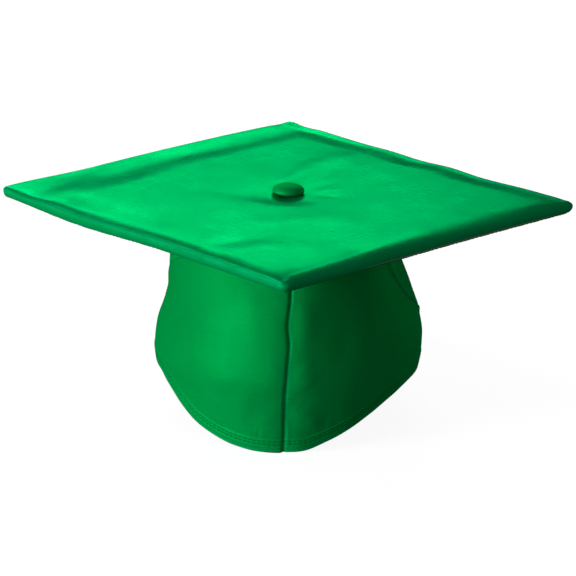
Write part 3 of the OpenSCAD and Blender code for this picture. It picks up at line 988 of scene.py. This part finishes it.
def woven(name, colour, deep, pale_tone, thread, roughness, sheen, tint, gloss, slub=0.16, relief=1.0,
          mottle=0.5, lustre=0.0, edge_lustre=None):
    """Woven cloth: warp and weft threads, uneven yarn, soft colour drift, and a paler colour at edges and
    ridges that stands for rubbed wear and a painted highlight.
    """
    n = Nodes(name)
    weave = n.add("UVMap", uv_map="weave").outputs["UV"]
    place = n.place()
    warp = n.bands(weave, thread, "X")
    weft = n.bands(weave, thread * 1.25, "Y")
    streak_up = n.noise(n.stretched(weave, 2600, 70), 1.0, 3.0, 0.6)
    streak_across = n.noise(n.stretched(weave, 60, 1900), 1.0, 3.0, 0.6)
    yarn = n.math("ADD", n.times(streak_up, 0.5), n.times(streak_across, 0.5))
    threads = n.math("MAXIMUM", n.times(warp, 0.9), weft)
    drift = n.noise(place, 26.0, 3.0, 0.55)
    base = n.mix(n.ramp(drift, 0.34, 0.68, 0, mottle), colour, deep)
    base = n.mix(n.ramp(yarn, 0.38, 0.62, 0, slub * 2), base, n.mix(0.55, deep, pale_tone))
    base = n.mix(n.ramp(n.noise(place, 1150.0, 2.0, 0.7), 0.36, 0.64, 0, slub * 1.6), base, deep)
    base = n.mix(n.times(n.math("SUBTRACT", 1.0, threads), 0.22), base, deep)
    wear_and_highlight = n.add("Attribute", attribute_name="wear_and_highlight").outputs["Fac"]
    # Paler where the mesh marks it: rubbed wear and a painted highlight on edges and ridges
    base = n.mix(n.times(wear_and_highlight, n.ramp(streak_across, 0.35, 0.6, 0.2, 0.75)), base, pale_tone)
    uneven = n.math("ADD", n.times(yarn, 0.6), n.times(drift, 0.4))
    rough = n.ramp(uneven, 0.35, 0.65, roughness - 0.07, roughness + 0.09)
    normal = n.bump(threads, 0.00005, 0.5 * relief)
    normal = n.bump(yarn, 0.00018, 0.45 * relief, normal)
    normal = n.bump(n.noise(place, 420.0, 4.0, 0.6), 0.00035, 0.28 * relief, normal)
    if edge_lustre is not None:
        upright = n.add("SeparateXYZ", {"Vector": n.add("TexCoord").outputs["Normal"]}).outputs["Z"]
        lustre = n.ramp(upright, 0.6, 0.95, edge_lustre, lustre)
    return n.finish(Base_Color=base, Metallic=lustre, Roughness=rough, Normal=normal,
                    Specular_IOR_Level=gloss, Specular_Tint=tint, Sheen_Weight=sheen, Sheen_Roughness=0.4,
                    Sheen_Tint=tint)


GREEN_TINT = (0.0, 1.0, 0.42, 1.0)
# A paler green for yarn tone, rubbed wear and painted edge highlight
PALE_TONE_GREEN = srgb(4, 205, 118)


# For each cloth its colour, deeper colour, paler colour (for yarn, and for rubbed wear and painted highlight
# at edges), thread width, roughness, sheen, tint and specular level, and then what differs from a plain cloth
CLOTHS = {
    "satin": (srgb(1, 178, 80), srgb(0, 156, 66), PALE_TONE_GREEN, 0.00042, 0.52, 0.1, GREEN_TINT, 0.0,
              {"slub": 0.26, "lustre": 0.2}),
    # The button's satin is the same cloth in a lighter colour: a painted highlight for the light on the
    # button
    "satin_button": (srgb(2, 192, 88), srgb(1, 170, 74), PALE_TONE_GREEN, 0.00042, 0.46, 0.1, GREEN_TINT, 0.0,
                     {"lustre": 0.3}),
    # The board's satin is the same cloth in a bluer green: painted sheen for the sheen on the top
    "satin_board": (srgb(1, 176, 92), srgb(0, 160, 80), srgb(4, 205, 122), 0.00042, 0.29, 0.1,
                    (0.0, 1.0, 0.6, 1.0), 0.0,
                    {"relief": 0.2, "mottle": 0.15, "lustre": 0.5, "edge_lustre": 0.1}),
    "satin_under": (srgb(1, 156, 68), srgb(0, 128, 54), PALE_TONE_GREEN, 0.00042, 0.6, 0.12, GREEN_TINT, 0.08, {}),
    "lining": (srgb(3, 120, 56), srgb(1, 96, 44), srgb(20, 150, 84), 0.0005, 0.72, 0.1, GREEN_TINT, 0.1,
               {"slub": 0.2, "relief": 1.2}),
    "buckram": (srgb(222, 218, 204), srgb(196, 190, 172), srgb(236, 233, 222), 0.0011, 0.86, 0.05,
                srgb(240, 240, 235), 0.2, {"slub": 0.25, "relief": 2.2}),
    "elastic": (srgb(232, 232, 228), srgb(200, 200, 196), srgb(245, 245, 243), 0.0009, 0.8, 0.1,
                srgb(245, 245, 245), 0.2, {"slub": 0.2, "relief": 2.5, "mottle": 0.3}),
    "label": (srgb(240, 240, 236), srgb(222, 222, 216), srgb(248, 248, 246), 0.0004, 0.5, 0.1,
              srgb(250, 250, 250), 0.3, {"mottle": 0.3}),
}


def make_materials():
    made = {name: woven(name, *values, **different) for name, (*values, different) in CLOTHS.items()}
    made.update(wadding=make_wadding_material(), thread=make_thread_material(),
                chipboard=make_chipboard_material(), steel=make_steel_material())
    return made


def make_thread_material():
    n = Nodes("thread")
    place = n.place()
    twist = n.noise(n.stretched(place, 5200, 5200), 1.0, 2.0)
    base = n.mix(n.noise(place, 900.0), srgb(2, 120, 56), srgb(6, 158, 80))
    base = n.mix(n.times(twist, 0.35), base, srgb(0, 84, 38))
    rough = n.math("ADD", n.times(twist, 0.2), 0.42)
    return n.finish(Base_Color=base, Roughness=rough, Normal=n.bump(twist, 0.0001, 0.6),
                    Specular_IOR_Level=0.05, Metallic=0.15, Specular_Tint=GREEN_TINT, Sheen_Weight=0.05,
                    Sheen_Tint=GREEN_TINT)


def make_wadding_material():
    n = Nodes("wadding")
    place = n.place()
    tuft = n.noise(place, 160.0, 6.0, 0.7)
    fibre = n.noise(n.stretched(place, 1800, 260), 1.0, 4.0, 0.65)
    base = n.mix(tuft, srgb(214, 212, 206), srgb(246, 245, 241))
    base = n.mix(n.times(fibre, 0.4), base, srgb(196, 194, 188))
    normal = n.bump(fibre, 0.0004, 0.7, n.bump(tuft, 0.0012, 0.6))
    return n.finish(Base_Color=base, Roughness=n.math("ADD", n.times(fibre, 0.1), 0.88), Normal=normal,
                    Sheen_Weight=0.35, Sheen_Tint=srgb(250, 250, 248), Specular_IOR_Level=0.15)


def make_chipboard_material():
    """Grey-brown pressed paper board with flecks of fibre, paler at its cut edges."""
    n = Nodes("chipboard")
    place = n.place()
    pulp = n.noise(place, 60.0, 6.0, 0.65)
    fleck = n.add("TexVoronoi", {"Vector": n.stretched(place, 700, 1500), "Scale": 1.0}, feature="F1")
    chip = n.ramp(fleck.outputs["Distance"], 0.1, 0.3, 0.7, 0.0)
    base = n.mix(pulp, srgb(142, 130, 112), srgb(170, 158, 138))
    base = n.mix(n.times(chip, 0.5), base, srgb(104, 92, 76))
    side = n.add("SeparateXYZ", {"Vector": n.add("NewGeometry").outputs["Normal"]}).outputs["Z"]
    cut = n.math("SUBTRACT", 1.0, n.math("ABSOLUTE", side))
    base = n.mix(n.times(cut, 0.7), base, srgb(188, 178, 158))
    layers = n.noise(n.stretched(place, 40, 40), 1.0, 2.0)
    normal = n.bump(pulp, 0.0003, 0.5, n.bump(layers, 0.0002, 0.2))
    return n.finish(Base_Color=base, Roughness=n.math("ADD", n.times(pulp, 0.15), 0.78), Normal=normal,
                    Specular_IOR_Level=0.3)


def make_steel_material():
    """Zinc-plated steel: brushed, with dull and brighter patches."""
    n = Nodes("steel")
    place = n.place()
    brush = n.noise(n.stretched(place, 3000, 160), 1.0, 3.0, 0.6)
    patch = n.noise(place, 220.0, 4.0, 0.6)
    base = n.mix(patch, srgb(150, 154, 158), srgb(198, 200, 202))
    base = n.mix(n.times(brush, 0.3), base, srgb(122, 126, 130))
    rough = n.math("ADD", n.times(patch, 0.25), n.times(brush, 0.2))
    return n.finish(Base_Color=base, Metallic=1.0, Roughness=n.math("ADD", rough, 0.12),
                    Normal=n.bump(brush, 0.00005, 0.4))


def dress(piece, slot, look, node):
    """Gives a piece the material named by look, or else by slot, and hides the CAD node that it stands for.
    """
    piece.data.materials.clear()
    piece.data.materials.append(materials[look or slot])
    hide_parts(node)
    return piece


def dress_node(name, material):
    """Gives a CAD node a better material in each of its slots."""
    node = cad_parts[name]
    for place in node.material_slots:
        place.material = material
    if not node.material_slots:
        node.data.materials.append(material)


# ---- Assembly ----

materials = make_materials()


def settle(piece, slot, node, body="root", look=None):
    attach(dress(piece, slot, look, node), body)
    return piece


def settle_back(piece, slot, node):
    """A piece of the gathered back, dressed and with its place baked into its mesh; it is joined to no body.
    """
    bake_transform(dress(piece, slot, None, node))
    return piece


def settle_sides(make, slot, node):
    """The left and right pieces of a pair."""
    return [settle(make(side), slot, node + SIDE_NAME[side]) for side in (-1, 1)]


board_top = settle(make_board_top(), "satin", "board_cover_top", look="satin_board")
board_under = settle(make_board_under(), "satin_under", "board_cover_under")
board_thread = settle(make_board_thread(), "thread", "board_edge_stitching")
wadding = settle(make_wadding(), "wadding", "board_wadding")
button = settle(make_button_cover(), "satin", "button_cover", "button", "satin_button")
front_panels = settle_sides(make_front_panel, "satin", "front_panel_")
stiffeners = settle_sides(make_stiffener, "buckram", "stiffener_")
front_linings = settle_sides(make_front_lining, "lining", "lining_")
crown = settle(make_crown(), "satin_under", "crown_panel")
crown_lining = settle(make_crown_lining(), "lining", "crown_lining")
settle(make_hem_thread(), "thread", "hem_stitching")
settle(make_front_thread(), "thread", "front_seam_stitching")
settle_sides(make_side_thread, "thread", "side_seam_stitching_")
settle(make_crown_thread(), "thread", "crown_stitching")
back_panel = settle_back(make_back_panel(), "satin", "back_panel")
back_lining = settle_back(make_back_lining(), "lining", "lining_back")
settle_back(make_elastic(), "elastic", "elastic_band")
casing = settle_back(make_casing(), "lining", "elastic_casing")
label = settle_back(make_label(), "label", "size_label")
settle_back(make_elastic_thread(), "thread", "elastic_stitching")

dress_node("board_core", materials["chipboard"])
for node_name in ("button_shell", "button_back_plate", "button_prong", "prong_washer"):
    dress_node(node_name, materials["steel"])


# ---- Camera, floor and light ----

AIM = Vector((0.0016, 0.0021, 0.0695))
CAMERA_DISTANCE = 1.5
CAMERA_ELEVATION = math.radians(18.18)
CAMERA_ROLL = math.radians(1.76)
LENS_MM, SENSOR_MM = 156.1, 36.0
LIGHT_AIM = Vector((0, 0, 0.07))
WORLD_STRENGTH = 0.09


def make_camera():
    back = Vector((0.0, -math.cos(CAMERA_ELEVATION), math.sin(CAMERA_ELEVATION)))
    right = Matrix.Rotation(CAMERA_ROLL, 3, back) @ Vector((1.0, 0.0, 0.0))
    up = back.cross(right)
    data = bpy.data.cameras.new("camera")
    data.lens, data.sensor_width = LENS_MM, SENSOR_MM
    data.clip_end = 40.0
    made = linked("camera", data)
    made.matrix_world = Matrix((
        (right.x, up.x, back.x, AIM.x + back.x * CAMERA_DISTANCE),
        (right.y, up.y, back.y, AIM.y + back.y * CAMERA_DISTANCE),
        (right.z, up.z, back.z, AIM.z + back.z * CAMERA_DISTANCE),
        (0, 0, 0, 1)))
    bpy.context.scene.camera = made


def make_floor():
    """A wide pale floor, bright enough to fill the view behind the cap."""
    reach = 9.0
    corners = [(x * reach, y * reach, 0) for x, y in ((-1, -1), (1, -1), (1, 1), (-1, 1))]
    mesh = bpy.data.meshes.new("floor")
    mesh.from_pydata(corners, [], [(0, 1, 2, 3)])
    made = linked("floor", mesh)
    n = Nodes("floor")
    n.finish(Base_Color=(0.4, 0.4, 0.4, 1), Roughness=0.9, Specular_IOR_Level=0.0,
             Emission_Color=(1, 1, 1, 1), Emission_Strength=0.92)
    mesh.materials.append(n.material)
    made.visible_diffuse = False
    made.visible_glossy = False


def area_light(name, place, size, power):
    data = bpy.data.lights.new(name, "AREA")
    data.shape = "ELLIPSE"
    data.size, data.size_y = size
    data.energy = power
    made = linked(name, data)
    made.location = place
    made.rotation_euler = (LIGHT_AIM - Vector(place)).to_track_quat("-Z", "Y").to_euler()


def make_light():
    world = bpy.data.worlds.new("studio")
    bpy.context.scene.world = world
    world.use_nodes = True
    background = world.node_tree.nodes["Background"]
    background.inputs["Color"].default_value = (1, 1, 1, 1)
    background.inputs["Strength"].default_value = WORLD_STRENGTH
    area_light("key", (-1.9, -1.03, 0.18), (1.3, 1.3), 44)
    area_light("fill", (-1.1, -1.5, 0.14), (0.8, 0.8), 3)
    area_light("top", (-0.9, 0.4, 1.5), (0.5, 0.5), 3)
    area_light("behind", (-0.22, 2.0, 0.98), (1.3, 0.45), 7)
    area_light("rim", (1.5, 0.9, 0.35), (0.4, 0.4), 1.5)


make_camera()
make_floor()
make_light()
bpy.context.scene.view_settings.view_transform = "Standard"
